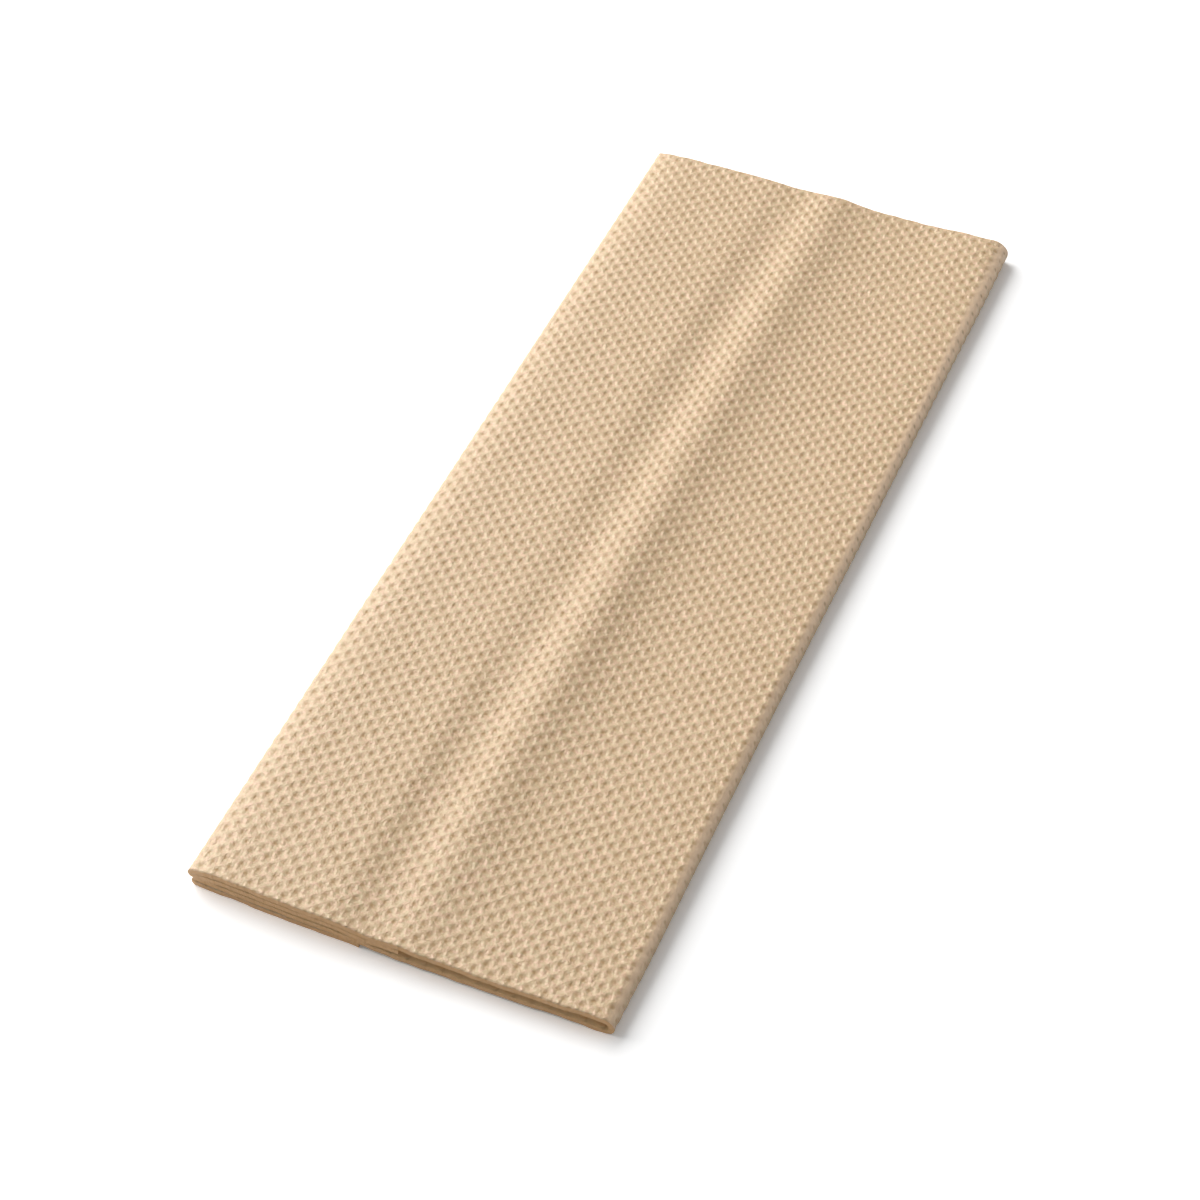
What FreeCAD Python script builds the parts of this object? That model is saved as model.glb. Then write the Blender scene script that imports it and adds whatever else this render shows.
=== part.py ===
"""Multifold paper towel: one embossed sheet in four panels, closed and lying flat.

Millimetres, +Z up. X runs across the folded towel and Y along its creases. The origin is on the
surface that the towel lies on, under the middle of its outline.

From the bottom up the panels are the under tab, the lower panel, the inner tab and the top panel.
The right crease joins the lower and the top panel. The left side has two creases, one over the
other: the lower one turns the under tab beneath the lower panel, and the upper one turns the
inner tab in between the two full panels.
"""

import os

import FreeCAD
import Part

# Sheet
cut_length = 236.0  # between the two cut ends, along Y
sheet_thickness = 1.15  # over the embossing

# Panels, measured from the left side
panel_width = 88.5  # folded width at the near end
under_tab = 36.6  # to the free edge of the tab that the towel lies on, at the near end
inner_tab = 45.0  # to the free edge of the tab between the full panels
low_crease_inset = 0.5  # the lower left crease stands back under the upper one

# Spaces between the panels
stack_gap = 0.33  # between layers where all four lie on each other
pressed_gap = 0.07  # the same at the left creases and where the stack is creased down
floor_gap = 0.5  # under the lower panel, past the under tab
open_gap = 1.55  # between the full panels, past the inner tab
neck_gap = 0.15  # between the inner tab's free edge and the top panel
flattened = 0.05  # what the towel's weight presses flat on the surface

# Left creases
crease_room = 0.06  # left open inside each
crease_press = 0.8  # share of the sheet's thickness that is left in them
crease_slope = 9.0  # the stack rises from them over this length

# Right crease: a quarter of an ellipse down from the top panel, then a tighter one to the surface
bulb_room = 0.8  # left open inside the upper quarter, across, over most of the length
foot_reach = 1.7  # the lower quarter, across, on its outside
foot_run = 9.0  # the lower panel comes down to it over this length

# Bends of the stack and the top panel, measured from the inner tab's free edge
valley_place = 8.7  # back to the crease pressed in the stack
valley_slope = 8.0  # length of its left slope, and the right one runs up to the crest
crest_place = 0.8  # on to where the top panel has ridden over the tab's edge
foot_slope = 19.0  # length of the slope down from the crest

# Bends of the lower panel
lower_lead = 4.0  # it starts down into the valley this far before the panels above it
tab_overhang = 0.3  # it stays level this far past the under tab's free edge
drop_slope = 10.0  # length of the slope down from there

# How a slope eases from level to level: the two handles of its curve as shares of its length
even = (0.45, 0.45)
steep_from_crease = (0.1, 0.8)
steep_from_crest = (0.25, 0.75)
steep_from_tab = (0.25, 0.7)

# Along the towel: place as a share of cut_length; the valley's depth as a share of its full size
# and how far it wanders to the right; the crest's height over the valley; how much higher than the
# open gap alone puts it the top panel lies at the foot of the slope and at the right crease; how
# far out the right crease runs, the height at which it stands out furthest, and how many times
# bulb_room it leaves open
stations = (
    (0.00, 1.00, 4.5, 0.05, 0.03, 0.05, 0.00, 1.75, 1.60),
    (0.07, 1.00, 1.0, 0.60, 0.05, 0.10, 0.30, 1.75, 1.10),
    (0.21, 0.85, 0.0, 0.85, 0.10, 0.30, 0.10, 1.75, 1.00),
    (0.37, 0.25, 0.0, 0.85, 0.15, 0.40, 0.05, 1.75, 1.00),
    (0.55, 0.55, 0.0, 0.80, 0.15, 0.45, 0.40, 1.75, 1.00),
    (0.78, 0.80, 0.5, 0.85, 0.20, 0.60, 0.75, 1.80, 1.25),
    (0.93, 0.60, 1.0, 0.70, 0.25, 0.80, 1.00, 2.00, 2.10),
    (1.00, 0.40, 1.5, 0.50, 0.30, 1.10, 0.90, 2.50, 3.75),
)
widest = max(station[6] for station in stations)


def mix(none, full, share):
    """The value at this share of the way from none to full."""
    return none + (full - none) * share


def quarter(x, z, across, up, y):
    """A quarter of an ellipse about (x, z), from straight over or under it to straight beside it."""
    round_handle = 0.5523
    points = ((0, up), (across * round_handle, up), (across, up * round_handle), (across, 0))
    curve = Part.BezierCurve()
    curve.setPoles([FreeCAD.Vector(x + dx, y, z + dz) for dx, dz in points])
    return curve.toShape()


def left_crease(turn_x, low_z, high_z, outside, y):
    """The inside or the outside of a crease that turns the sheet from low_z up to high_z."""
    across = crease_room + (sheet_thickness * crease_press if outside else 0)
    up = (high_z - low_z) / 2 + (sheet_thickness / 2 if outside else -sheet_thickness / 2)
    middle_z = (low_z + high_z) / 2
    return [quarter(turn_x, middle_z, -across, up, y), quarter(turn_x, middle_z, -across, -up, y)]


def right_crease(right, low_z, high_z, widest_z, bulb, outside, y):
    """The inside or the outside of the crease that turns the lower panel up into the top one."""
    half = sheet_thickness / 2 if outside else -sheet_thickness / 2
    inset = 0 if outside else sheet_thickness
    return [
        quarter(right - bulb, widest_z, bulb - inset, high_z + half - widest_z, y),
        quarter(right - foot_reach, widest_z, foot_reach - inset, low_z - half - widest_z, y),
    ]


def panel(bends, offset, y):
    """A panel's line through its (x, z, handles) bends, or its copy moved up by offset.

    It is level at each bend. Between two bends of one height it is straight, and between others
    it eases from one height to the other with the second bend's handles.
    """
    edges = []
    for (x0, z0, _), (x1, z1, handles) in zip(bends, bends[1:]):
        start = FreeCAD.Vector(x0, y, z0 + offset)
        end = FreeCAD.Vector(x1, y, z1 + offset)
        if z0 == z1:
            edges.append(Part.LineSegment(start, end).toShape())
        else:
            lead = FreeCAD.Vector((x1 - x0) * handles[0], 0, 0)
            trail = FreeCAD.Vector((x1 - x0) * handles[1], 0, 0)
            ease = Part.BezierCurve()
            ease.setPoles([start, start + lead, end - trail, end])
            edges.append(ease.toShape())
    return edges


def section(place, valley, wander, crest_rise, foot_lift, bulb_lift, spread, bulb_z, room):
    """The cut through all four panels at one station: a closed outline one sheet thick."""
    y = (place - 0.5) * cut_length
    left = -(panel_width + widest) / 2
    right = left + panel_width + spread
    half = sheet_thickness / 2

    # middle lines of the four layers: loose, tight, and as the valley presses them here
    bottom = half - flattened
    loose = [bottom + (sheet_thickness + stack_gap) * layer for layer in range(4)]
    tight = [bottom + (sheet_thickness + pressed_gap) * layer for layer in range(4)]
    pressed = [mix(*pair, valley) for pair in zip(loose, tight)]

    # middle lines of the two full panels past the tabs
    lower_z = floor_gap + half
    top_z = lower_z + sheet_thickness + open_gap
    crest_z = pressed[3] + crest_rise
    tab_z = crest_z - sheet_thickness - neck_gap
    bulb_top = top_z + bulb_lift

    # places of the creases and the bends
    high_turn = left + crease_room + sheet_thickness * crease_press
    low_turn = high_turn + low_crease_inset
    bulb = bulb_room * room + sheet_thickness
    bulb_turn = right - bulb
    foot_turn = right - foot_reach
    tab_x = left + inner_tab
    under_x = left + under_tab - 2 * spread  # what both full panels gain here, this tab loses
    valley_x = tab_x - valley_place + wander
    shoulder_x = tab_x - valley_place - valley_slope
    crest_x = tab_x + crest_place
    drop_x = under_x + tab_overhang
    level_x = min(valley_x, drop_x - 0.5)

    under_panel = [(low_turn, loose[0], even), (under_x, loose[0], even)]
    lower_panel = [
        (low_turn, tight[1], even),
        (low_turn + crease_slope, loose[1], steep_from_crease),
        (shoulder_x - lower_lead, loose[1], even),
        (level_x, tight[1], even),
        (drop_x, tight[1], even),
        (drop_x + drop_slope, lower_z, steep_from_tab),
        (foot_turn - foot_run, lower_z, even),
        (foot_turn, bottom, even),
    ]
    inner_panel = [
        (high_turn, tight[2], even),
        (high_turn + crease_slope, loose[2], steep_from_crease),
        (shoulder_x, loose[2], even),
        (valley_x, pressed[2], even),
        (tab_x, tab_z, even),
    ]
    top_panel = [
        (high_turn, tight[3], even),
        (high_turn + crease_slope, loose[3], steep_from_crease),
        (shoulder_x, loose[3], even),
        (valley_x, pressed[3], even),
        (crest_x, crest_z, even),
        (crest_x + foot_slope, top_z + foot_lift, steep_from_crest),
        (bulb_turn, bulb_top, even),
    ]

    def face(side):
        """One face of the sheet, from the under tab's free edge to the inner tab's.

        side is half a thickness: up from the lower panel's middle line for the face that lies
        inside the right crease, and down from it for the other.
        """
        outside = side < 0
        return (
            panel(under_panel, -side, y)
            + left_crease(low_turn, loose[0], tight[1], not outside, y)
            + panel(lower_panel, side, y)
            + right_crease(right, bottom, bulb_top, bulb_z, bulb, outside, y)
            + panel(top_panel, -side, y)
            + left_crease(high_turn, tight[2], tight[3], outside, y)
            + panel(inner_panel, side, y)
        )

    def free_edge(x, z, _):
        """The cut across the sheet's thickness at the end of a tab."""
        low, high = FreeCAD.Vector(x, y, z - half), FreeCAD.Vector(x, y, z + half)
        return Part.LineSegment(low, high).toShape()

    edges = face(half) + face(-half)
    edges += [free_edge(*under_panel[-1]), free_edge(*inner_panel[-1])]
    return Part.Wire(Part.__sortEdges__(edges))


def surface_below():
    """The space under the surface that the towel lies on."""
    wide, deep = 2 * (panel_width + widest), 10 * sheet_thickness
    corner = FreeCAD.Vector(-wide / 2, -cut_length, -deep)
    return Part.makeBox(wide, 2 * cut_length, deep, corner)


def folded_towel():
    """The sheet drawn through its stations, and pressed flat where it lies on the surface."""
    sheet = Part.makeLoft([section(*station) for station in stations], True, False)
    return sheet.cut(surface_below())


os.makedirs("parts", exist_ok=True)
towel = folded_towel()
towel.exportStep("parts/folded_towel.step")
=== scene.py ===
# Multifold paper towel: one embossed brown sheet, folded in four panels and lying flat.
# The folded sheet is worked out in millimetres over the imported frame, then put into the mesh in metres.
import math

import bpy
import numpy as np
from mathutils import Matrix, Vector


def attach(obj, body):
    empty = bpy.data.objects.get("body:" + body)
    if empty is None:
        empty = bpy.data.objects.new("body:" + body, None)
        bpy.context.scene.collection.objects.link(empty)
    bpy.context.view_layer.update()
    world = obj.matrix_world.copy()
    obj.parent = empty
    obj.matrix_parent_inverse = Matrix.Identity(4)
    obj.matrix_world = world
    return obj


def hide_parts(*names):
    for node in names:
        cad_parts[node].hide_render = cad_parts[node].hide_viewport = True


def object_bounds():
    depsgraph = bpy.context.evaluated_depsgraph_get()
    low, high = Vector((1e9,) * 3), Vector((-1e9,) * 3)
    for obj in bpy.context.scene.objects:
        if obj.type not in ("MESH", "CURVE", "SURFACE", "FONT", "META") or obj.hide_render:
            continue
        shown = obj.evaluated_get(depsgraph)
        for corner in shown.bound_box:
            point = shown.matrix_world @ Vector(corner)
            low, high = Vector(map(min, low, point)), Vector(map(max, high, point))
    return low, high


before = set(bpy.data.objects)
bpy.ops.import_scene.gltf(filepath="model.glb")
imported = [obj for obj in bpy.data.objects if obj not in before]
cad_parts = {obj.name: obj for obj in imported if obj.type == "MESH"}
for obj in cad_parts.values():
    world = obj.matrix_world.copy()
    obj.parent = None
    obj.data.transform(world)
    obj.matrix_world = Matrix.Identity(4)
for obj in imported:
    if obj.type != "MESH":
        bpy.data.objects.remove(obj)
cadLow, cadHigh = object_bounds()
millimetre = 0.001
print("frame loaded")


fold = dict(  # millimetres; the same folded section as the frame's solid
    leftSide=round(cadLow[0] / millimetre, 2),
    nearWidth=88.5,
    cutLength=round((cadHigh[1] - cadLow[1]) / millimetre, 2),
    sheet=1.15,  # thickness over the embossing
    underTab=36.6,  # at the near end
    innerTab=45.0,
    lowCreaseInset=0.5,
    stackGap=0.33,  # between layers that lie loosely on each other
    pressedGap=0.07,  # and where they are pressed, in the left creases and the valley
    floorGap=0.5,  # under the lower panel where no tab carries it
    openGap=1.55,  # between the two full panels beside the right crease
    neckGap=0.15,  # between the inner tab's edge and the top panel
    flattened=0.05,  # how much of the underside the floor presses flat
    creaseRoom=0.06,  # left open inside the left creases
    creasePress=0.8,  # share of the thickness that is left in them
    creaseSlope=9.0,  # the stack rises from its creases over this stretch
    bulbRoom=0.8,  # left open inside the right crease's upper quarter, across
    footReach=1.7,  # its lower quarter, across, on the outside
    footRun=9.0,  # the lower panel comes down to it over this stretch
    valleyPlace=8.7,
    valleySlope=8.0,
    crestPlace=0.8,
    footSlope=19.0,
    lowerLead=4.0,  # the lower panel starts to come down this much before the others
    tabOverhang=0.3,
    dropSlope=10.0,
    bendSpacing=0.5,  # least run from the valley to the lower panel's next bend
    fromLevel=(0.45, 0.45),  # handles of a slope, and of those that are steep at first
    fromCrease=(0.1, 0.8),
    fromCrest=(0.25, 0.75),
    fromTab=(0.25, 0.7),
    bulbShape=(1.0, 1.2),  # across to up, by which the right crease's quarters are paced
    footShape=(1.0, 1.0),
    stationPlaces=(0.0, 0.07, 0.21, 0.37, 0.55, 0.78, 0.93, 1.0),  # shares of the length from the near end
    valleyDepths=(1.0, 1.0, 0.85, 0.25, 0.55, 0.8, 0.6, 0.4),
    bulbRooms=(1.6, 1.1, 1.0, 1.0, 1.0, 1.25, 2.1, 3.75),
    valleyWander=(4.5, 1.0, 0.0, 0.0, 0.0, 0.5, 1.0, 1.5),  # millimetres, as all below
    crestRises=(0.05, 0.6, 0.85, 0.85, 0.8, 0.85, 0.7, 0.5),
    footLifts=(0.03, 0.05, 0.1, 0.15, 0.15, 0.2, 0.25, 0.3),
    bulbLifts=(0.05, 0.1, 0.3, 0.4, 0.45, 0.6, 0.8, 1.1),
    spreads=(0.0, 0.3, 0.1, 0.05, 0.4, 0.75, 1.0, 0.9),  # how far out the right crease runs
    bulbHeights=(1.75, 1.75, 1.75, 1.75, 1.75, 1.8, 2.0, 2.5),  # where it stands out furthest
    blendLength=9.0,  # over which one station's values pass into the next
)


def smoothStep(share):
    share = np.clip(share, 0, 1)
    return share * share * (3 - 2 * share)


def alongTowel(name, y):
    # straight lines between the stations, averaged over the blend length so that they have no corner
    places = (np.array(fold["stationPlaces"]) - 0.5) * fold["cutLength"]
    offsets = np.linspace(-1, 1, 9) * fold["blendLength"]
    return sum(np.interp(y + offset, places, fold[name]) for offset in offsets) / len(offsets)


def easedShare(share, lead, trail):
    # height gained at this share of a run that starts and ends level: a cubic curve, with its handles given
    # as shares of the run
    share = np.clip(share, 0, 1)
    a, c = 3 * lead, 3 * (1 - trail)
    t = share
    for _ in range(6):  # each step brings t nearer to where the curve passes over this share
        place = a * t * (1 - t) ** 2 + c * t**2 * (1 - t) + t**3 - share
        slope = a * (1 - t) * (1 - 3 * t) + c * t * (2 - 3 * t) + 3 * t**2
        t = np.clip(t - place / slope, 0, 1)
    return 3 * t**2 - 2 * t**3


def panelHeight(x, bends):
    # height of a panel's middle line: the first bend's, plus what each run beyond it has gained by x
    height = bends[0][1] + 0 * x
    for (x0, z0, *_), (x1, z1, *handles) in zip(bends, bends[1:]):
        height = height + (z1 - z0) * easedShare((x - x0) / (x1 - x0), *(handles or fold["fromLevel"]))
    return height


def quarterLength(across, up):
    # length of a quarter of an ellipse, by the usual close formula for its whole outline
    return math.pi / 4 * (3 * (across + up) - np.sqrt((3 * across + up) * (across + 3 * up)))


def quarterAngle(share, across, up):
    # angle down a quarter of an ellipse from its top at this share of its length
    angles = np.linspace(0, math.pi / 2, 65)
    steps = np.hypot(across * np.cos(angles), up * np.sin(angles))
    lengths = np.concatenate([[0], np.cumsum(steps[1:] + steps[:-1])])
    return np.interp(share, lengths / lengths[-1], angles)


def foldPlan(y):
    # heights of the middle lines and places of the turns at y, shared by all that folds the sheet
    f = fold
    half = f["sheet"] / 2
    valley = alongTowel("valleyDepths", y)
    bottom = half - f["flattened"]
    loose = [bottom + (f["sheet"] + f["stackGap"]) * layer for layer in range(4)]
    tight = [bottom + (f["sheet"] + f["pressedGap"]) * layer for layer in range(4)]
    highTurn = f["leftSide"] + f["creaseRoom"] + f["creasePress"] * f["sheet"]
    plan = {
        "loose": loose,
        "tight": tight,
        "pressed": [a + (b - a) * valley for a, b in zip(loose, tight)],
        "bottom": bottom,
        "bulbZ": alongTowel("bulbHeights", y),
        "bulbTop": f["floorGap"] + f["openGap"] + 3 * half + alongTowel("bulbLifts", y),
        "bulbRoom": f["bulbRoom"] * alongTowel("bulbRooms", y),
        "right": f["leftSide"] + f["nearWidth"] + alongTowel("spreads", y),
        "highTurn": highTurn,
        "lowTurn": highTurn + f["lowCreaseInset"],
    }
    plan["bulbTurn"] = plan["right"] - plan["bulbRoom"] - f["sheet"]
    plan["footTurn"] = plan["right"] - f["footReach"]

    # where the creases start and end on the flat sheet
    leftAcross, leftUp = f["creaseRoom"] + f["creasePress"] * half, half + f["pressedGap"] / 2
    plan["leftSize"] = leftAcross, leftUp, quarterLength(leftAcross, leftUp)
    plan["highEnd"] = -2 * plan["leftSize"][2] + 0 * y  # one value for each y
    plan["topEnd"] = plan["bulbTurn"] - highTurn
    plan["bulbEnd"] = plan["topEnd"] + quarterLength(plan["bulbRoom"] + half, plan["bulbTop"] - plan["bulbZ"])
    plan["rightEnd"] = plan["bulbEnd"] + quarterLength(f["footReach"] - half, plan["bulbZ"] - bottom)
    plan["lowerEnd"] = plan["rightEnd"] + plan["footTurn"] - plan["lowTurn"]
    plan["lowEnd"] = plan["lowerEnd"] + 2 * plan["leftSize"][2]
    return plan


def sheetEnds():
    # the inner tab's free edge and the under tab's, across the flat sheet, measured at the near end
    plan = foldPlan(np.array(-fold["cutLength"] / 2))
    inner = plan["highEnd"] + plan["highTurn"] - fold["leftSide"] - fold["innerTab"]
    under = plan["lowEnd"] + fold["leftSide"] + fold["underTab"] - plan["lowTurn"]
    return float(inner), float(under)


def followCreases(w, y):
    # a column of the mesh moves across the sheet with the creases as they shift along the towel
    middle, here = foldPlan(np.array(0.0)), foldPlan(y)
    names = ("highEnd", "topEnd", "rightEnd", "lowerEnd", "lowEnd")
    inner, under = sheetEnds()
    stops = [inner, *(float(middle[name]) for name in names), under]
    moved = w + 0 * y
    for name, stop in zip(names, stops[1:-1]):
        share = np.interp(w, stops, [float(other == stop) for other in stops])
        moved = moved + share * (here[name] - middle[name])
    return moved


def foldSheet(w, y, rise):
    # where a point of the flat sheet lies once folded. w runs across the sheet from the top of the upper
    # left crease, y along it, and rise is the height over the sheet's middle on its outer face's side.
    # Panels are their middle line with rise added upwards, creases are quarters of ellipses.
    f = fold
    half = f["sheet"] / 2
    plan = foldPlan(y)
    loose, tight, pressed, bottom = plan["loose"], plan["tight"], plan["pressed"], plan["bottom"]
    highTurn, lowTurn = plan["highTurn"], plan["lowTurn"]
    bulbTurn, footTurn = plan["bulbTurn"], plan["footTurn"]
    highEnd, topEnd, bulbEnd = plan["highEnd"], plan["topEnd"], plan["bulbEnd"]
    rightEnd, lowerEnd, lowEnd = plan["rightEnd"], plan["lowerEnd"], plan["lowEnd"]
    bulbZ, bulbTop, bulbRoom = plan["bulbZ"], plan["bulbTop"], plan["bulbRoom"]
    lowerZ = f["floorGap"] + half
    footZ = lowerZ + f["sheet"] + f["openGap"] + alongTowel("footLifts", y)
    crestZ = pressed[3] + alongTowel("crestRises", y)
    tabZ = crestZ - f["sheet"] - f["neckGap"]
    tabX = f["leftSide"] + f["innerTab"]
    dropX = f["leftSide"] + f["underTab"] - 2 * alongTowel("spreads", y) + f["tabOverhang"]
    valleyX = tabX - f["valleyPlace"] + alongTowel("valleyWander", y)
    shoulderX = tabX - f["valleyPlace"] - f["valleySlope"]
    crestX = tabX + f["crestPlace"]
    stretches = [w < highEnd, w < 0, w <= topEnd, w < bulbEnd, w < rightEnd, w <= lowerEnd, w < lowEnd]

    innerX = highTurn + highEnd - w
    innerBends = [
        (highTurn, tight[2]),
        (highTurn + f["creaseSlope"], loose[2], *f["fromCrease"]),
        (shoulderX, loose[2]),
        (valleyX, pressed[2]),
        (tabX, tabZ),
    ]
    topX = highTurn + w
    topBends = [
        (highTurn, tight[3]),
        (highTurn + f["creaseSlope"], loose[3], *f["fromCrease"]),
        (shoulderX, loose[3]),
        (valleyX, pressed[3]),
        (crestX, crestZ),
        (crestX + f["footSlope"], footZ, *f["fromCrest"]),
        (bulbTurn, bulbTop),
    ]
    lowerX = footTurn + rightEnd - w
    lowerBends = [
        (lowTurn, tight[1]),
        (lowTurn + f["creaseSlope"], loose[1], *f["fromCrease"]),
        (shoulderX - f["lowerLead"], loose[1]),
        (np.minimum(valleyX, dropX - f["bendSpacing"]), tight[1]),
        (dropX, tight[1]),
        (dropX + f["dropSlope"], lowerZ, *f["fromTab"]),
        (footTurn - f["footRun"], lowerZ),
        (footTurn, bottom),
    ]
    underPanelX = lowTurn + w - lowEnd

    leftAcross, leftUp, leftLength = plan["leftSize"]

    def leftCrease(turn, middle, length, side):
        # half round, from its top down: length along the middle line, side 1 where the outer face is outside
        share = (side * rise + half) / f["sheet"]
        across = f["creaseRoom"] + f["creasePress"] * f["sheet"] * share
        up = f["pressedGap"] / 2 + f["sheet"] * share
        part = length / leftLength
        angle = quarterAngle(np.where(part > 1, 2 - part, part), leftAcross, leftUp)
        return turn - across * np.sin(angle), middle + np.where(part > 1, -up, up) * np.cos(angle)

    high = leftCrease(highTurn, (tight[2] + tight[3]) / 2, -w, 1)
    low = leftCrease(lowTurn, (tight[0] + tight[1]) / 2, w - lowerEnd, -1)
    bulbAngle = quarterAngle((w - topEnd) / (bulbEnd - topEnd), *f["bulbShape"])
    footAngle = quarterAngle((rightEnd - w) / (rightEnd - bulbEnd), *f["footShape"])
    x = np.select(
        stretches,
        [
            innerX,
            high[0],
            topX,
            bulbTurn + (bulbRoom + half + rise) * np.sin(bulbAngle),
            footTurn + (f["footReach"] - half + rise) * np.sin(footAngle),
            lowerX,
            low[0],
        ],
        underPanelX,
    )
    z = np.select(
        stretches,
        [
            panelHeight(innerX, innerBends) - rise,
            high[1],
            panelHeight(topX, topBends) + rise,
            bulbZ + (bulbTop + rise - bulbZ) * np.cos(bulbAngle),
            bulbZ - (bulbZ - bottom + rise) * np.cos(footAngle),
            panelHeight(lowerX, lowerBends) - rise,
            low[1],
        ],
        loose[0] + rise + 0 * x,
    )
    return x, z


emboss = dict(  # millimetres
    across=3.6,  # from one pit to the next across the sheet; every other row is shifted by half
    lengthwisePits=70,  # rows of pits of one kind between the cut ends
    pitDepth=0.22,
    pitHalf=0.75,  # from its middle to halfway up its side walls
    pitWalls=(0.75, 1.3),  # widths of the left and the right one
    pitLong=1.3,  # from its middle to its ends along the sheet
    pitShear=-0.17,  # how far its right wall is ahead of its left one, as a share of the way between
    foldPlace=(0.45, 0.45),  # from a pit's middle to the steep side of the small fold in it
    foldLean=0.38,  # radians from straight along the sheet
    foldRise=0.17,
    foldSteep=0.45,  # widths of its steep and of its gentle side
    foldGentle=0.8,
    foldLong=0.85,
    pressedShadePlace=(-0.65, -0.05),  # from a pit's middle to the middle of the painted shade in it, where the paper is also pressed hardest
    pressedShadeReach=(0.68, 0.1),  # distances from there at which it is least and most
    depthSpread=0.3,  # share by which pits differ in depth
    depthSeed=7,
    bumpSpread=(0.7, 0.6),  # the same in the bump: the least share, and what chance adds
    wander=0.13,  # how far the rows stray
    wanderCell=6.0,
    wanderHold=6.0,  # they stray less within this distance of the sheet's edges
    wanderSeeds=(11, 12),
    bumpRise=0.16,  # how far the same pits stand out of the other face
    backPlane=0.34,  # the other face between its bumps, from the sheet's middle
    edgeFlat=1.4,  # the pits fade over this stretch at the cut ends
    cutStray=0.25,  # how far the cut ends stray from straight
    cutCell=2.5,
    cutReach=3.0,  # the sheet behind them follows over this stretch
    cutSeed=13,
    nearBow=0.8,  # how far the near one bows out in the middle
    bowLength=40.0,  # over which the sheet follows that bow
)
lengthwise = fold["cutLength"] / emboss["lengthwisePits"]


def smoothNoise(u, v, cell, seed):
    # random values from -1 to 1 on a square grid, eased from one to the next
    size = 256  # steps after which it repeats
    table = np.random.default_rng(seed).uniform(-1, 1, (size + 1, size + 1))
    u, v = u / cell + size / 4, v / cell + size / 4
    i, j = np.floor(u).astype(int), np.floor(v).astype(int)
    s, t = smoothStep(u - i), smoothStep(v - j)
    i, j = i % size, j % size
    near = table[i, j] * (1 - s) + table[i + 1, j] * s
    far = table[i, j + 1] * (1 - s) + table[i + 1, j + 1] * s
    return near * (1 - t) + far * t


def pitShare(w, y):
    # how far down its pit a point is, from 0 to 1: the nearer of two pit lattices, one of them shifted by
    # half a step each way. A pit is a short trough between two walls that fades towards its ends.
    e = emboss
    size = 128  # pits each way after which their depths repeat
    chance = np.random.default_rng(e["depthSeed"]).uniform(-1, 1, (2, size, size))
    share = 0 * (w + y)
    for which, shift in enumerate((0, 0.5)):
        u, v = w / e["across"] + shift, y / lengthwise + shift
        column, row = np.round(u), np.round(v)
        across, along = (u - column) * e["across"], (v - row) * lengthwise
        along = along - e["pitShear"] * across
        wall = np.where(across < 0, *e["pitWalls"])
        trough = smoothStep(0.5 + (e["pitHalf"] - np.abs(across)) / wall)
        trough = trough * smoothStep(1 - np.abs(along) / e["pitLong"])
        own = chance[which, column.astype(int) % size, row.astype(int) % size]
        share = np.maximum(share, trough * (1 + e["depthSpread"] * own))
    return share


def towelSurface(w, y, outer, embossed):
    # the outer or the inner face of the folded sheet at flat places w and y; the embossing fades at the cuts
    e = emboss
    inner, under = sheetEnds()
    half = fold["sheet"] / 2
    toCut = fold["cutLength"] / 2 - np.abs(y)
    fade = smoothStep(toCut / e["edgeFlat"]) * embossed
    share = pitShare(w, y)
    if outer:
        rise = half - e["pitDepth"] * share * fade
    else:
        rise = -half + (half - e["backPlane"] - e["bumpRise"] * share) * fade
    # rows stray a little, and not at the sheet's own edges
    hold = 1
    for toEdge in (toCut, w - inner, under - w):
        hold = hold * smoothStep(toEdge / e["wanderHold"])
    strayW, strayY = (
        e["wander"] * hold * smoothNoise(w, y, e["wanderCell"], seed) for seed in e["wanderSeeds"]
    )
    # the cut ends are set back by chance, up to the full stray
    setBack = 0.5 + 0.5 * smoothNoise(w, 0 * y, e["cutCell"], e["cutSeed"])
    atCut = smoothStep(1 - toCut / e["cutReach"])
    strayY = strayY - np.sign(y) * e["cutStray"] * atCut * setBack
    x, z = foldSheet(w + strayW, y + strayY, rise)
    bow = 1 - (x / fold["leftSide"]) ** 2
    strayY = strayY - e["nearBow"] * bow * smoothStep(1 - (y + fold["cutLength"] / 2) / e["bowLength"])
    return np.stack([x, y + strayY + 0 * x, np.maximum(z, 0)], axis=-1)


mesh = dict(
    fineColumn=0.6,  # millimetres between columns on the faces that show most
    fineRows=421,
    mediumColumn=0.9,
    mediumRows=281,
    hiddenColumn=3.0,
    hiddenRows=19,
    arcColumns=9,  # round a crease
    tightColumns=5,  # round the inside of a left crease
    keptClear=0.35,  # share of a step that columns keep from a band's ends
)


def columnsBetween(start, end, step):
    # columns from start to end; in between they stand on multiples of step
    first, last = min(start, end), max(start, end)
    clear = mesh["keptClear"]
    inside = np.arange(math.ceil(first / step + clear), last / step - clear) * step
    columns = np.concatenate([[first], inside, [last]])
    return columns if end > start else columns[::-1]


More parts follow.
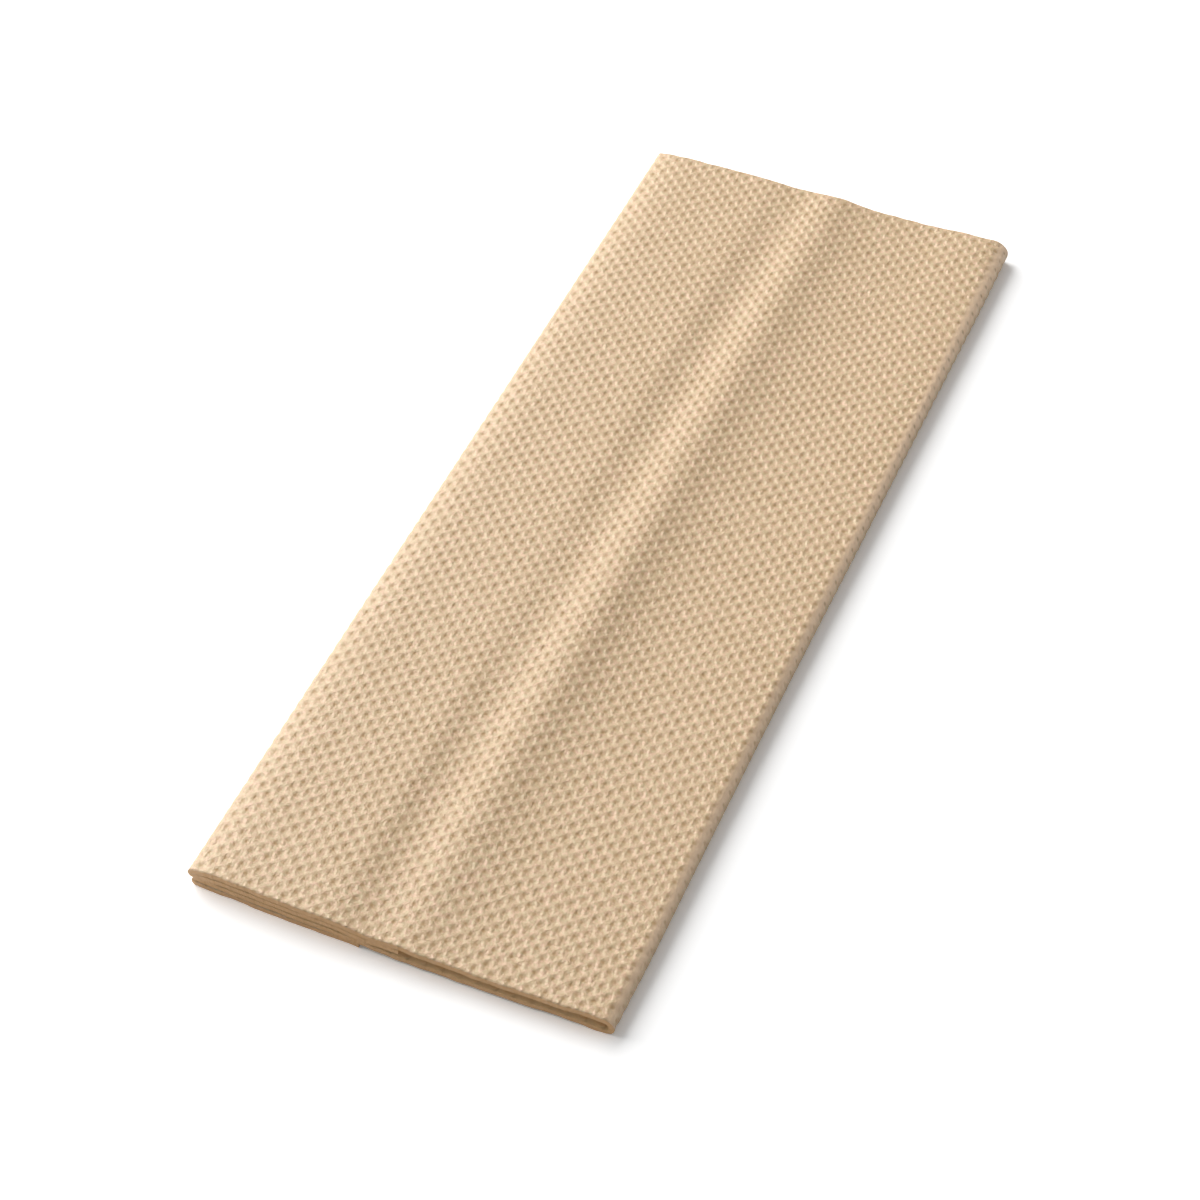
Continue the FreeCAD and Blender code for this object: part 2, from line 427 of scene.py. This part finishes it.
def sheetBands():
    # the ring round the sheet's section as bands of columns: outer face, embossed, columns, rows
    m = mesh
    halfLength = fold["cutLength"] / 2
    fine, medium, hidden = (
        np.linspace(-halfLength, halfLength, m[name]) for name in ("fineRows", "mediumRows", "hiddenRows")
    )
    inner, under = sheetEnds()
    plan = foldPlan(np.array(0.0))
    highEnd, topEnd, rightEnd, lowerEnd, lowEnd = (
        float(plan[name]) for name in ("highEnd", "topEnd", "rightEnd", "lowerEnd", "lowEnd")
    )
    step, coarse, wide = m["fineColumn"], m["mediumColumn"], m["hiddenColumn"]

    highOutside = np.linspace(highEnd, 0, m["arcColumns"])[:-1]
    shown = columnsBetween(0, rightEnd, step)
    tabCovers = lowerEnd - fold["underTab"]
    exposed = columnsBetween(rightEnd + coarse, tabCovers, coarse)
    overTab = columnsBetween(tabCovers + wide, lowerEnd - wide / 2, wide)
    lowInside = np.linspace(lowerEnd, lowEnd, m["tightColumns"])
    onTab = columnsBetween(lowEnd + wide / 2, under, wide)
    underneath = columnsBetween(under, lowEnd + coarse / 2, coarse)
    lowOutside = np.linspace(lowEnd, lowerEnd, m["arcColumns"])
    lowerTop = columnsBetween(lowerEnd - wide / 2, rightEnd + wide / 2, wide)
    bulbInside = np.linspace(rightEnd, topEnd, 2 * m["arcColumns"])
    topUnderside = columnsBetween(topEnd - wide / 2, wide / 2, wide)
    highInside = np.linspace(0, highEnd, m["tightColumns"])
    innerTop = columnsBetween(highEnd - wide / 2, inner, wide)
    return [
        (True, False, columnsBetween(inner, highEnd - wide / 2, wide), hidden),
        (True, True, np.concatenate([highOutside, shown]), fine),
        (True, True, exposed, medium),
        (True, False, np.concatenate([overTab, lowInside, onTab]), hidden),
        (False, True, np.concatenate([underneath, lowOutside]), medium),
        (False, False, np.concatenate([lowerTop, bulbInside, topUnderside, highInside, innerTop]), hidden),
    ]


def zipper(a, b, placeA, placeB):
    # triangles between two lines of vertices that run side by side: each step along either line makes one,
    # with the vertex that the other line has reached by then
    middleA, middleB = (placeA[1:] + placeA[:-1]) / 2, (placeB[1:] + placeB[:-1]) / 2
    reachedB = np.searchsorted(middleB, middleA, side="right")
    reachedA = np.searchsorted(middleA, middleB, side="left")
    stepsA = np.stack([a[:-1], b[reachedB], a[1:]], axis=1)
    stepsB = np.stack([a[reachedA], b[:-1], b[1:]], axis=1)
    return np.concatenate([stepsA, stepsB])


def gridTriangles(first, columns, rows):
    # two triangles for each cell of a band, whose vertices are numbered column by column
    corner = (first + np.arange(columns - 1)[:, None] * rows + np.arange(rows - 1)).ravel()
    across, along, beyond = corner + rows, corner + 1, corner + rows + 1
    return np.concatenate([np.stack([corner, across, beyond], 1), np.stack([corner, beyond, along], 1)])


def closeRing(bands):
    # strips that join each band to the next, which are smooth within a face and cut edges between the two,
    # and the two cut ends, each of them a strip from the inner face's end line to the outer one's
    joins, cut = [], []
    for (a, _, rowsA, outerA), (b, _, rowsB, outerB) in zip(bands, bands[1:] + bands[:1]):
        strip = zipper(a[-1], b[0], rowsA, rowsB)
        (joins if outerA == outerB else cut).append(strip)
    for end, turned in ((0, True), (-1, False)):
        lines = {}
        for outer in (True, False):
            chosen = [band for band in bands if band[3] == outer]
            numbers = np.concatenate([band[0][:, end] for band in chosen])
            places = np.concatenate([band[1][:, end] for band in chosen])
            lines[outer] = (numbers, places) if outer else (numbers[::-1], places[::-1])
        strip = zipper(lines[False][0], lines[True][0], lines[False][1], lines[True][1])
        cut.append(strip[:, ::-1] if turned else strip)
    return joins, cut


def makeTowel():
    # bands of both faces joined into a ring, and its two ends closed: one sheet with its cut edges
    spots, flats, smooth, bands, inside = [], [], [], [], []
    count = 0
    for outer, embossed, columns, rows in sheetBands():
        w = followCreases(columns[:, None], rows)
        y = rows + 0 * w
        spots.append(towelSurface(w, y, outer, embossed).reshape(-1, 3))
        flats.append(np.stack([w, y], axis=-1).reshape(-1, 2))
        smooth.append(gridTriangles(count, len(columns), len(rows)))
        inside.append(np.full(w.size, not outer and not embossed))
        numbers = count + np.arange(w.size).reshape(w.shape)
        bands.append((numbers, w, rows, outer))
        count += w.size
    joins, cut = closeRing(bands)
    smooth, cut = np.concatenate(smooth + joins), np.concatenate(cut)
    triangles = np.concatenate([smooth, cut])
    spots, flats = np.concatenate(spots) * millimetre, np.concatenate(flats)

    made = bpy.data.meshes.new("foldedTowel")
    made.vertices.add(len(spots))
    made.vertices.foreach_set("co", spots.ravel())
    made.loops.add(triangles.size)
    made.loops.foreach_set("vertex_index", triangles.ravel().astype(np.int32))
    made.polygons.add(len(triangles))
    made.polygons.foreach_set("loop_start", np.arange(0, triangles.size, 3, dtype=np.int32))
    made.update(calc_edges=True)
    made.polygons.foreach_set("use_smooth", np.arange(len(triangles)) < len(smooth))
    edges = made.attributes.new("cutEdge", "FLOAT", "FACE")
    edges.data.foreach_set("value", (np.arange(len(triangles)) >= len(smooth)).astype(np.float32))
    hidden = made.attributes.new("insideFold", "FLOAT", "POINT")
    hidden.data.foreach_set("value", np.concatenate(inside).astype(np.float32))
    flatMap = made.uv_layers.new(name="flatSheet")
    flatMap.data.foreach_set("uv", flats[triangles.ravel()].astype(np.float32).ravel())
    made.validate()
    towel = bpy.data.objects.new("embossedTowel", made)
    bpy.context.collection.objects.link(towel)
    print("towel made:", len(triangles), "triangles")
    return towel


paper = dict(
    tones=((0.58, 0.448, 0.25), (0.665, 0.425, 0.272)),  # unbleached brown, its greenest and its reddest
    darkTone=(0.522, 0.355, 0.182),
    pressedShadeTone=(0.47, 0.28, 0.11),  # painted shade at the bottom of the pits, where the paper is also pressed
    creaseLightTone=(0.92, 0.66, 0.43),  # painted light on the right crease, whose side faces away from the lamp
    creaseLightFrom=(0.0415, 0.0021),  # metres: x and z where that starts
    creaseLightFull=(0.0432, 0.0042),
    cutTone=(0.6, 0.335, 0.125),  # of the cut edges
    # how far the painted shade in the pits goes towards its tone
    pressedShadeShare=0.7,
    insideTone=(0.64, 0.4, 0.17),  # painted light: of the inner face inside the fold, standing for light that comes through the sheet
    roughness=0.5,
    gloss=0.9,
    bumpDepth=0.09,  # millimetres of pit that the mesh is too coarse for
    fibreDepth=0.2,
    fibreNoise=(2400.0, 4.0),  # scale and detail
    mottleNoise=(300.0, 3.0),
    hueNoise=(1100.0, 2.0),
    hueRange=(0.36, 0.64),  # of that noise, from the greenest tone to the reddest
    mottleWeight=1.1,
    fibreWeight=2.2,
    darkLevel=1.15,  # the weighted sum of the two noises at which the dark tone is full
)


def setSocket(tree, socket, value):
    # a socket takes a link from another socket, or a plain value
    if isinstance(value, bpy.types.NodeSocket):
        tree.links.new(value, socket)
    else:
        socket.default_value = value


def calc(tree, operation, *values):
    node = tree.nodes.new("ShaderNodeMath")
    node.operation = operation
    for socket, value in zip(node.inputs, values):
        setSocket(tree, socket, value)
    return node.outputs[0]


def vectorCalc(tree, operation, *values, result=0):
    node = tree.nodes.new("ShaderNodeVectorMath")
    node.operation = operation
    for socket, value in zip(node.inputs, values):
        setSocket(tree, socket, value)
    return node.outputs[result]


def smoothRange(tree, value, start, end):
    node = tree.nodes.new("ShaderNodeMapRange")
    node.interpolation_type = "SMOOTHSTEP"
    for name, given in (("Value", value), ("From Min", start), ("From Max", end)):
        setSocket(tree, node.inputs[name], given)
    return node.outputs["Result"]


def pitRelief():
    # node group: at a flat place, how far down its pit the sheet is and how far up the small fold in it, both
    # from 0 to 1, on the mesh's two lattices, and how much painted shade the pit's bottom gets there, where
    # the paper is also pressed
    group = bpy.data.node_groups.new("pitRelief", "ShaderNodeTree")
    group.interface.new_socket("Place", in_out="INPUT", socket_type="NodeSocketVector")
    for name in ("Pit", "Fold", "PressedShade"):
        group.interface.new_socket(name, in_out="OUTPUT", socket_type="NodeSocketFloat")
    given = group.nodes.new("NodeGroupInput").outputs
    e = emboss
    step = (e["across"], lengthwise, 1.0)
    cosine, sine = math.cos(e["foldLean"]), math.sin(e["foldLean"])
    left, right = (width / 2 for width in e["pitWalls"])
    least, extra = e["bumpSpread"]
    found = {"Pit": [], "Fold": [], "PressedShade": []}
    for shift in (0, 0.5):
        cell = vectorCalc(group, "DIVIDE", given["Place"], step)
        cell = vectorCalc(group, "ADD", cell, (shift + 0.5, shift + 0.5, 0))
        place = vectorCalc(group, "SUBTRACT", vectorCalc(group, "FRACTION", cell), (0.5, 0.5, 0))
        place = vectorCalc(group, "MULTIPLY", place, (step[0], step[1], 0))
        chance = group.nodes.new("ShaderNodeTexWhiteNoise")
        whole = vectorCalc(group, "FLOOR", vectorCalc(group, "ADD", cell, (shift * 100, 0, 0)))
        group.links.new(whole, chance.inputs["Vector"])
        own = calc(group, "MULTIPLY_ADD", chance.outputs["Value"], extra, least)

        across = vectorCalc(group, "DOT_PRODUCT", place, (1, 0, 0), result=1)
        along = vectorCalc(group, "DOT_PRODUCT", place, (-e["pitShear"], 1, 0), result=1)
        trough = [
            smoothRange(group, across, -e["pitHalf"] - left, -e["pitHalf"] + left),
            smoothRange(group, across, e["pitHalf"] + right, e["pitHalf"] - right),
            smoothRange(group, calc(group, "ABSOLUTE", along), e["pitLong"], 0.0),
        ]
        place = vectorCalc(group, "SUBTRACT", place, (*e["foldPlace"], 0))
        across = vectorCalc(group, "DOT_PRODUCT", place, (cosine, sine, 0), result=1)
        along = vectorCalc(group, "DOT_PRODUCT", place, (-sine, cosine, 0), result=1)
        steep, end = e["foldSteep"] / 2, e["foldSteep"] / 2 + e["foldGentle"]
        ridge = [
            smoothRange(group, across, -steep, steep),
            smoothRange(group, across, end, steep),
            smoothRange(group, calc(group, "ABSOLUTE", along), e["foldLong"], 0.0),
        ]
        # the spot of painted shade near the pit's bottom
        toSpot = [there - here for there, here in zip(e["pressedShadePlace"], e["foldPlace"])]
        fromSpot = vectorCalc(group, "DISTANCE", place, (*toSpot, 0), result=1)
        spot = [smoothRange(group, fromSpot, *e["pressedShadeReach"])]
        for name, shares in (("Pit", trough), ("Fold", ridge), ("PressedShade", spot)):
            product = own
            for share in shares:
                product = calc(group, "MULTIPLY", product, share)
            found[name].append(product)
    out = group.nodes.new("NodeGroupOutput")
    for name, pair in found.items():
        group.links.new(calc(group, "MAXIMUM", *pair), out.inputs[name])
    return group


def noiseValue(tree, place, scale, detail):
    node = tree.nodes.new("ShaderNodeTexNoise")
    node.noise_dimensions = "3D"
    setSocket(tree, node.inputs["Vector"], place)
    node.inputs["Scale"].default_value = scale
    node.inputs["Detail"].default_value = detail
    return node.outputs["Fac"]


def separated(tree, vector):
    node = tree.nodes.new("ShaderNodeSeparateXYZ")
    setSocket(tree, node.inputs[0], vector)
    return node.outputs


def mixColour(tree, share, first, second):
    node = tree.nodes.new("ShaderNodeMix")
    node.data_type = "RGBA"
    setSocket(tree, node.inputs["Factor"], share)
    ends = [socket for socket in node.inputs if socket.type == "RGBA"]
    for socket, value in zip(ends, (first, second)):
        setSocket(tree, socket, (*value, 1) if isinstance(value, tuple) else value)
    return [socket for socket in node.outputs if socket.type == "RGBA"][0]


def makePaper():
    # brown paper: a mottled tone, with painted light along the right crease and painted shade in the pits,
    # where the paper is also pressed, a tone for the light that comes through the sheet inside the fold, and
    # one of its own at the cuts; the bump is the sharper part of the pits, their folds and fibres
    p = paper
    material = bpy.data.materials.new("brownPaper")
    material.use_nodes = True
    tree = material.node_tree
    tree.nodes.clear()
    shader = tree.nodes.new("ShaderNodeBsdfPrincipled")
    out = tree.nodes.new("ShaderNodeOutputMaterial")
    tree.links.new(shader.outputs[0], out.inputs["Surface"])
    place = tree.nodes.new("ShaderNodeTexCoord").outputs["Object"]
    shader.inputs["Roughness"].default_value = p["roughness"]
    shader.inputs["Specular IOR Level"].default_value = p["gloss"]
    flat = tree.nodes.new("ShaderNodeUVMap")
    flat.uv_map = "flatSheet"

    pits = tree.nodes.new("ShaderNodeGroup")
    pits.node_tree = pitRelief()
    setSocket(tree, pits.inputs["Place"], flat.outputs["UV"])

    fibres = noiseValue(tree, place, *p["fibreNoise"])
    mottle = noiseValue(tree, place, *p["mottleNoise"])
    height = calc(tree, "MULTIPLY", pits.outputs["Pit"], -p["bumpDepth"])
    height = calc(tree, "MULTIPLY_ADD", pits.outputs["Fold"], emboss["foldRise"], height)
    height = calc(tree, "ADD", height, calc(tree, "MULTIPLY", fibres, p["fibreDepth"]))
    bump = tree.nodes.new("ShaderNodeBump")
    bump.inputs["Strength"].default_value = 1.0
    bump.inputs["Distance"].default_value = millimetre
    setSocket(tree, bump.inputs["Height"], height)
    tree.links.new(bump.outputs["Normal"], shader.inputs["Normal"])

    hue = smoothRange(tree, noiseValue(tree, place, *p["hueNoise"]), *p["hueRange"])
    colour = mixColour(tree, hue, *p["tones"])
    spread = calc(tree, "MULTIPLY", mottle, p["mottleWeight"])
    spread = calc(tree, "ADD", spread, calc(tree, "MULTIPLY", fibres, p["fibreWeight"]))
    colour = mixColour(tree, calc(tree, "SUBTRACT", spread, p["darkLevel"]), p["darkTone"], colour)

    x, _, z = separated(tree, place)
    # painted light along the right crease, which the lamp hardly reaches
    creaseLightShare = calc(
        tree,
        "MULTIPLY",
        smoothRange(tree, x, p["creaseLightFrom"][0], p["creaseLightFull"][0]),
        smoothRange(tree, z, p["creaseLightFrom"][1], p["creaseLightFull"][1]),
    )
    colour = mixColour(tree, creaseLightShare, colour, p["creaseLightTone"])
    # painted shade at the bottom of the pits, where the paper is also pressed
    pressed = calc(tree, "MULTIPLY", pits.outputs["PressedShade"], p["pressedShadeShare"])
    colour = mixColour(tree, pressed, colour, p["pressedShadeTone"])
    # insideFold carries the painted light from light coming through the sheet; cutEdge carries the cut edges'
    # own tone
    for name, tone in (("insideFold", p["insideTone"]), ("cutEdge", p["cutTone"])):
        share = tree.nodes.new("ShaderNodeAttribute")
        share.attribute_name = name
        colour = mixColour(tree, share.outputs["Fac"], colour, tone)
    tree.links.new(colour, shader.inputs["Base Color"])
    return material


towel = makeTowel()
towel.data.materials.append(makePaper())
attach(towel, "root")
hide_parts("folded_towel")
print("paper on")


studio = dict(
    target=(0.0002, -0.02283, 0.0041),  # metres
    elevation=47.67,  # degrees
    azimuth=23.19,
    distance=0.571,
    lens=82.35,
    floorSize=6.0,  # from its middle to each side
    floorTone=0.8,
    floorSeen=1.2,  # for the camera alone
    floorGlow=0.05,  # added to that, in light and in shadow alike
    keyDirection=(-0.84, 0.28, 0.45),
    keyDistance=1.15,
    keySize=(1.5, 1.5),
    keyPower=32.0,
    worldStrength=(0.3, 0.34),  # from the near side and from the far side
    worldBlend=0.7,  # how far to either side of the middle one passes into the other
    clipRange=(0.01, 20.0),
)


def makeCamera():
    # stands back from the target by the distance, in the direction of the azimuth and elevation
    a, e = math.radians(studio["azimuth"]), math.radians(studio["elevation"])
    back = Vector((math.sin(a) * math.cos(e), -math.cos(a) * math.cos(e), math.sin(e)))
    camera = bpy.data.objects.new("camera", bpy.data.cameras.new("camera"))
    camera.data.lens = studio["lens"]
    camera.data.clip_start, camera.data.clip_end = studio["clipRange"]
    camera.location = Vector(studio["target"]) + back * studio["distance"]
    camera.rotation_mode = "QUATERNION"
    camera.rotation_quaternion = (-back).to_track_quat("-Z", "Y")
    bpy.context.collection.objects.link(camera)
    bpy.context.scene.camera = camera


def makeLight():
    direction = Vector(studio["keyDirection"]).normalized()
    data = bpy.data.lights.new("window", "AREA")
    data.shape = "RECTANGLE"
    data.size, data.size_y = studio["keySize"]
    data.energy = studio["keyPower"]
    light = bpy.data.objects.new("window", data)
    light.location = direction * studio["keyDistance"]
    light.rotation_mode = "QUATERNION"
    light.rotation_quaternion = direction.to_track_quat("Z", "Y")
    bpy.context.collection.objects.link(light)


def cameraRays(tree):
    # 1 for what the camera sees directly or in gloss
    path = tree.nodes.new("ShaderNodeLightPath")
    seen = calc(tree, "MAXIMUM", path.outputs["Is Camera Ray"], path.outputs["Is Glossy Ray"])
    return calc(tree, "MAXIMUM", seen, path.outputs["Is Transmission Ray"])


def makeFloor():
    # pale to the light that falls on it, and brighter to the camera alone
    size = studio["floorSize"]
    data = bpy.data.meshes.new("floor")
    corners = [(-size, -size, 0), (size, -size, 0), (size, size, 0), (-size, size, 0)]
    data.from_pydata(corners, [], [(0, 1, 2, 3)])
    floor = bpy.data.objects.new("floor", data)
    bpy.context.collection.objects.link(floor)
    material = bpy.data.materials.new("paleFloor")
    material.use_nodes = True
    tree = material.node_tree
    tree.nodes.clear()
    plain = tree.nodes.new("ShaderNodeBsdfDiffuse")
    tone, extra = studio["floorTone"], studio["floorSeen"] - studio["floorTone"]
    colour = tree.nodes.new("ShaderNodeCombineColor")
    shade = calc(tree, "MULTIPLY_ADD", cameraRays(tree), extra, tone)
    for channel in colour.inputs:
        setSocket(tree, channel, shade)
    tree.links.new(colour.outputs[0], plain.inputs["Color"])
    glow = tree.nodes.new("ShaderNodeEmission")
    setSocket(tree, glow.inputs["Strength"], calc(tree, "MULTIPLY", cameraRays(tree), studio["floorGlow"]))
    both = tree.nodes.new("ShaderNodeAddShader")
    tree.links.new(plain.outputs[0], both.inputs[0])
    tree.links.new(glow.outputs[0], both.inputs[1])
    out = tree.nodes.new("ShaderNodeOutputMaterial")
    tree.links.new(both.outputs[0], out.inputs["Surface"])
    data.materials.append(material)


def makeWorld():
    # plain white to the camera, and a weaker light on the towel that is a little stronger from the far side
    world = bpy.data.worlds.new("studio")
    bpy.context.scene.world = world
    world.use_nodes = True
    tree = world.node_tree
    tree.nodes.clear()
    glow = tree.nodes.new("ShaderNodeBackground")
    glow.inputs["Color"].default_value = (1, 1, 1, 1)
    place = separated(tree, tree.nodes.new("ShaderNodeTexCoord").outputs["Generated"])
    near, far = studio["worldStrength"]
    farShare = smoothRange(tree, place["Y"], -studio["worldBlend"], studio["worldBlend"])
    strength = calc(tree, "MULTIPLY_ADD", farShare, far - near, near)
    seen = cameraRays(tree)
    unseen = calc(tree, "MULTIPLY", calc(tree, "SUBTRACT", 1.0, seen), strength)
    tree.links.new(calc(tree, "ADD", unseen, seen), glow.inputs["Strength"])
    out = tree.nodes.new("ShaderNodeOutputWorld")
    tree.links.new(glow.outputs[0], out.inputs["Surface"])


bpy.context.scene.view_settings.view_transform = "Standard"
makeCamera()
makeLight()
makeFloor()
makeWorld()
print("studio ready")
